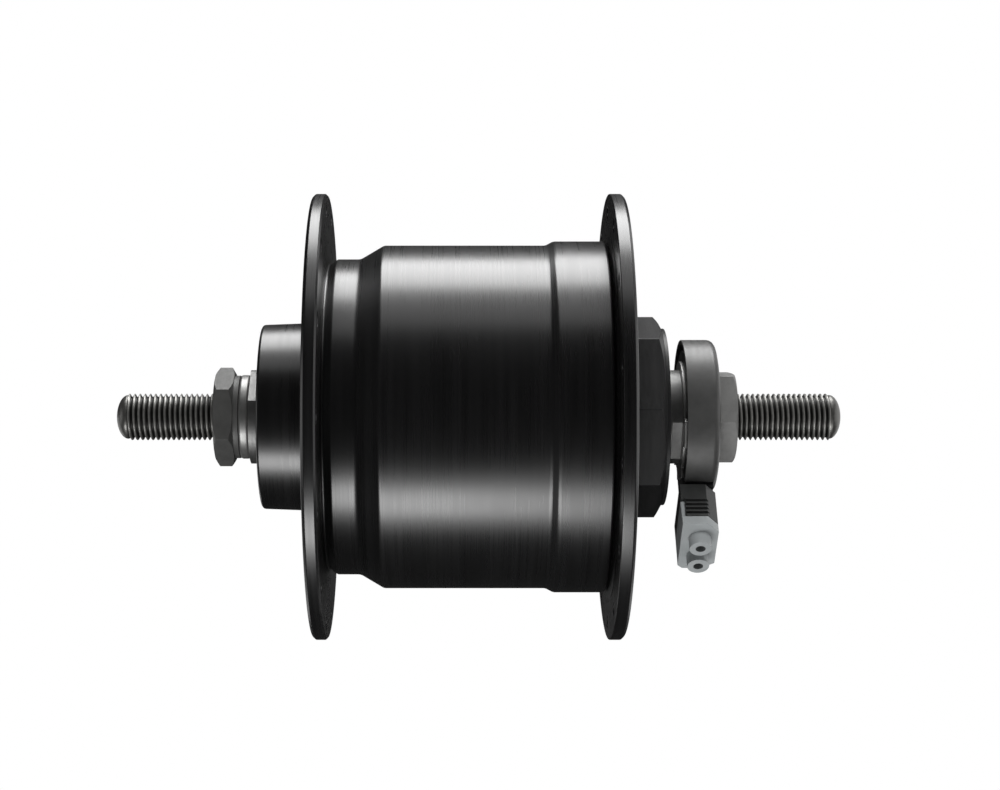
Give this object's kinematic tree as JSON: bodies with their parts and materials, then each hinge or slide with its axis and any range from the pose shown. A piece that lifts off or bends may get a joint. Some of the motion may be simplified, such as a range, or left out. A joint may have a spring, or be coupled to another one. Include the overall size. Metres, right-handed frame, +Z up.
{
  "type": "bicycle front hub dynamo",
  "caption": "Front wheel hub with a dynamo inside: flanged turning barrel on ball bearings, claw-pole coil on a fixed threaded axle, and a plug-in terminal for the lamp wires.",
  "frame": {"origin": "on the axle, half-way between the two locknut faces that the fork grips", "axes": "+Y along the axle towards the terminal end, +Z up, and +X towards the side the picture shows; the plug points forwards and down"},
  "size_m": [0.086, 0.14, 0.086],
  "materials": {
    "axle": "zinc plated, threaded at both ends",
    "left_locknut": "black oxide, satin",
    "left_spacer": "turned, bright",
    "left_cone": "ground, bright plated",
    "core_nut": "zinc plated",
    "claw_yoke": "pressed sheet steel",
    "core_sleeve": "turned soft iron",
    "coil_bobbin": "natural nylon",
    "coil_winding": "enamelled copper wire",
    "lead_wire": "insulated wire",
    "right_cone": "ground, bright plated",
    "earth_plate": "pressed, tinned",
    "terminal_housing": "moulded, black",
    "contact": "tinned brass",
    "terminal_cover": "drawn sheet, grey satin",
    "right_locknut": "grey satin",
    "hub_shell": "black anodised, fine turned grain",
    "bearing_cup": "hardened, ground",
    "right_end_cap": "black anodised",
    "back_iron": "rolled soft iron",
    "magnets": "sintered, dark grey",
    "dust_seal": "black rubber",
    "balls": "polished hard steel",
    "retainer": "pressed steel",
    "connector_cap": "moulded, black, grip grooves",
    "connector_cover": "moulded, pale blue-grey"
  },
  "bodies": {
    "axle_assembly": {"axle": "axle", "left_locknut": "left_locknut", "left_spacer": "left_spacer", "left_cone": "left_cone", "left_core_nut": "core_nut", "left_claw_yoke": "claw_yoke", "core_sleeve": "core_sleeve", "coil_bobbin": "coil_bobbin", "coil_winding": "coil_winding", "right_claw_yoke": "claw_yoke", "right_core_nut": "core_nut", "lead_wire": "lead_wire", "right_cone": "right_cone", "earth_plate": "earth_plate", "terminal_housing": "terminal_housing", "live_contact": "contact", "earth_contact": "contact", "terminal_cover": "terminal_cover", "right_locknut": "right_locknut"},
    "shell": {"hub_shell": "hub_shell", "left_bearing_cup": "bearing_cup", "right_bearing_cup": "bearing_cup", "right_end_cap": "right_end_cap", "back_iron_ring": "back_iron", "rotor_magnets": "magnets", "left_dust_seal": "dust_seal", "right_dust_seal": "dust_seal"},
    "left_ball_row": {"left_balls": "balls", "left_ball_retainer": "retainer"},
    "right_ball_row": {"right_balls": "balls", "right_ball_retainer": "retainer"},
    "plug": {"connector_cap": "connector_cap", "connector_cover": "connector_cover"}
  },
  "joints": [
    {"name": "shell_spin", "type": "hinge", "parent": "axle_assembly", "child": "shell", "pos_m": [0, 0, 0], "axis": [0, 1, 0], "continuous": true},
    {"name": "left_row_orbit", "type": "hinge", "parent": "axle_assembly", "child": "left_ball_row", "pos_m": [0, 0, 0], "axis": [0, 1, 0], "continuous": true},
    {"name": "right_row_orbit", "type": "hinge", "parent": "axle_assembly", "child": "right_ball_row", "pos_m": [0, 0, 0], "axis": [0, 1, 0], "continuous": true},
    {"name": "plug_slide", "type": "slide", "parent": "axle_assembly", "child": "plug", "axis": [0.6428, 0, -0.766], "range_m": [0, 0.008]}
  ],
  "couplings": [
    {"joint": "left_row_orbit", "follows": "shell_spin", "ratio": 0.58765},
    {"joint": "right_row_orbit", "follows": "shell_spin", "ratio": 0.58765}
  ]
}
